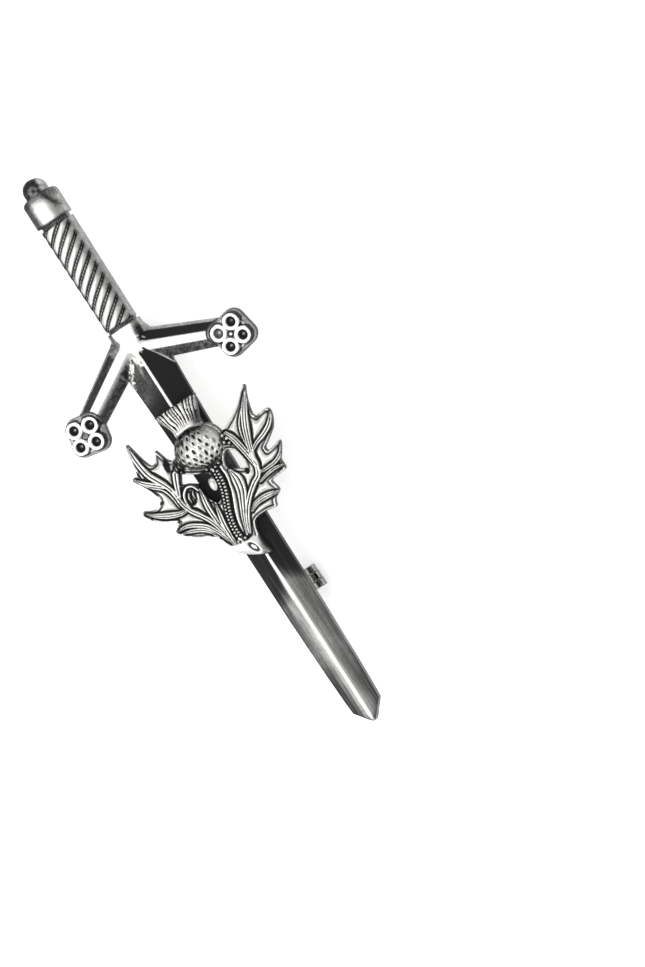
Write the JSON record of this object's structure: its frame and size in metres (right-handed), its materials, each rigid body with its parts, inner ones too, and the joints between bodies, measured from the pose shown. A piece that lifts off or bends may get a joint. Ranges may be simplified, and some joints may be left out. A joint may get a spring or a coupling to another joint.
{
  "type": "kilt pin",
  "caption": "Cast sword-shaped kilt pin with a raised thistle spray, quatrefoil guard, hinged pin stem and rotating safety catch on its back.",
  "frame": {"origin": "middle of the bounding box's base, on the surface that the pin lies on, below the middle of the sword's length", "axes": "+Y toward the pommel, -Y toward the sword's point, +Z out of the decorated front, +X toward the right quatrefoil seen from the front"},
  "size_m": [0.0362, 0.1005, 0.0105],
  "materials": {
    "sword": "antiqued silver-coloured casting, satin blade",
    "thistle_spray": "antiqued silver-coloured casting, bright ridges over dark recesses",
    "pivot_rivet": "polished",
    "pin_stem": "polished wire",
    "catch_rotor": "polished"
  },
  "bodies": {
    "pin_body": {"sword": "sword", "thistle_spray": "thistle_spray", "pivot_rivet": "pivot_rivet"},
    "stem": {"pin_stem": "pin_stem"},
    "rotor": {"catch_rotor": "catch_rotor"}
  },
  "joints": [
    {"name": "pin_hinge", "type": "hinge", "parent": "pin_body", "child": "stem", "pos_m": [-0.0004, 0.01915, 0.00215], "axis": [1, 0, 0], "range_deg": [0, 75]},
    {"name": "rotor_turn", "type": "hinge", "parent": "pin_body", "child": "rotor", "pos_m": [0.00095, -0.02625, 0.00215], "axis": [0, 1, 0], "range_deg": [0, 150]}
  ]
}
